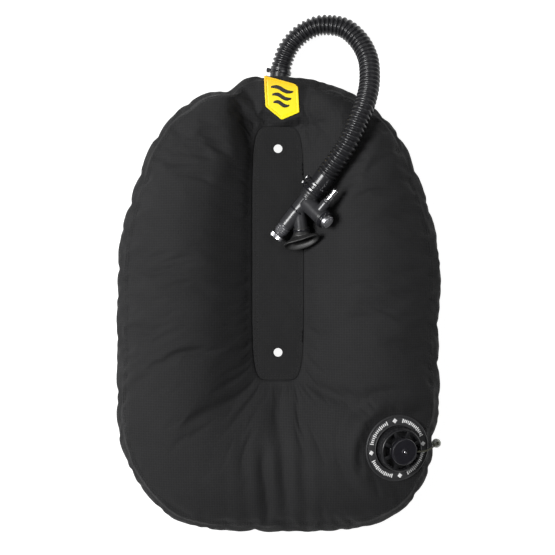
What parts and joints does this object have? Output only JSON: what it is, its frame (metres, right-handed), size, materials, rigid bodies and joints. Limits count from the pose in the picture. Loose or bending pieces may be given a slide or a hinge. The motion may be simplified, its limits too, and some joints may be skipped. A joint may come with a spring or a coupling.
{
  "type": "buoyancy compensator wing",
  "caption": "Back-mounted single-tank dive buoyancy wing: fabric air cell with corrugated hose, power inflator and pull dump valve.",
  "frame": {"origin": "midway between the two bolt holes, on the diver-side face of the centre panel", "axes": "+Z away from the wing towards the diver, +Y towards the diver's head, +X towards the diver's left"},
  "size_m": [0.4443, 0.7118, 0.113],
  "materials": {
    "shell_fabric": "woven ballistic nylon, matte",
    "panel_fabric": "doubled nylon with stitched edge",
    "bladder_film": "laminated film, satin",
    "patch_yellow": "moulded flexible patch, satin",
    "mark_black": "satin",
    "zip_fabric": "woven tape",
    "zip_plastic": "moulded",
    "zip_metal": "plated",
    "black_plastic": "moulded, satin",
    "tie_plastic": "glossy nylon",
    "hose_rubber": "corrugated, satin",
    "mouth_rubber": "soft moulded, satin",
    "seal_rubber": "satin",
    "button_silver": "ribbed, bright",
    "chrome_metal": "polished",
    "spring_steel": "wire",
    "ring_plastic": "moulded, satin",
    "print_white": "printed",
    "knob_plastic": "moulded, satin",
    "cord_olive": "braided",
    "ball_plastic": "translucent"
  },
  "bodies": {
    "wing": {"front_shell": "shell_fabric", "back_shell": "shell_fabric", "edge_gusset": "shell_fabric", "bladder_front_sheet": "bladder_film", "bladder_back_sheet": "bladder_film", "centre_panel": "panel_fabric", "name_patch": "patch_yellow", "patch_mark": "mark_black", "zip_tape": "zip_fabric", "zip_teeth": "zip_plastic", "zip_stops": "zip_metal", "elbow_flange": "black_plastic", "elbow_gasket": "seal_rubber", "elbow_ring": "black_plastic", "elbow": "black_plastic", "elbow_ties": "tie_plastic", "corrugated_hose": "hose_rubber", "inflator_ties": "tie_plastic", "inflator_body": "black_plastic", "inflator_seal": "seal_rubber", "mouthpiece": "mouth_rubber", "exhale_collar": "ring_plastic", "exhale_spring": "spring_steel", "inflate_bezel": "black_plastic", "inflate_spring": "spring_steel", "lp_nipple": "chrome_metal", "dump_flange": "black_plastic", "dump_gasket": "seal_rubber", "dump_ring": "ring_plastic", "dump_marks": "print_white", "dump_housing": "black_plastic", "dump_cap": "ring_plastic", "dump_spring": "spring_steel"},
    "exhale_button": {"exhale_button": "button_silver", "exhale_stem": "spring_steel"},
    "inflate_button": {"inflate_button": "button_silver", "inflate_stem": "spring_steel"},
    "dump_pull": {"dump_knob": "knob_plastic", "dump_disc": "ring_plastic", "pull_cord": "cord_olive", "pull_ball": "ball_plastic"},
    "zip_slider": {"zip_slider": "zip_metal"},
    "zip_pull": {"zip_pull": "zip_plastic"}
  },
  "joints": [
    {"name": "inflate_press", "type": "slide", "parent": "wing", "child": "inflate_button", "axis": [-0.6282, 0.6401, -0.4424], "range_m": [0, 0.003], "stiffness_N_per_m": 1500, "springref_m": -0.002, "deforming": ["inflate_spring"]},
    {"name": "exhale_press", "type": "slide", "parent": "wing", "child": "exhale_button", "axis": [0.6132, 0.7572, 0.225], "range_m": [0, 0.0035], "stiffness_N_per_m": 1200, "springref_m": -0.002, "deforming": ["exhale_spring"]},
    {"name": "dump_pull_slide", "type": "slide", "parent": "wing", "child": "dump_pull", "axis": [0.309, -0.0829, 0.9474], "range_m": [0, 0.0045], "stiffness_N_per_m": 900, "springref_m": -0.003, "deforming": ["dump_spring"]},
    {"name": "zip_slide", "type": "slide", "parent": "wing", "child": "zip_slider", "axis": [0, -1, 0], "range_m": [0, 0.274]},
    {"name": "zip_pull_swing", "type": "hinge", "parent": "zip_slider", "child": "zip_pull", "pos_m": [-0.026, 0.1375, -0.01215], "axis": [1, 0, 0], "range_deg": [-85, 85]}
  ]
}
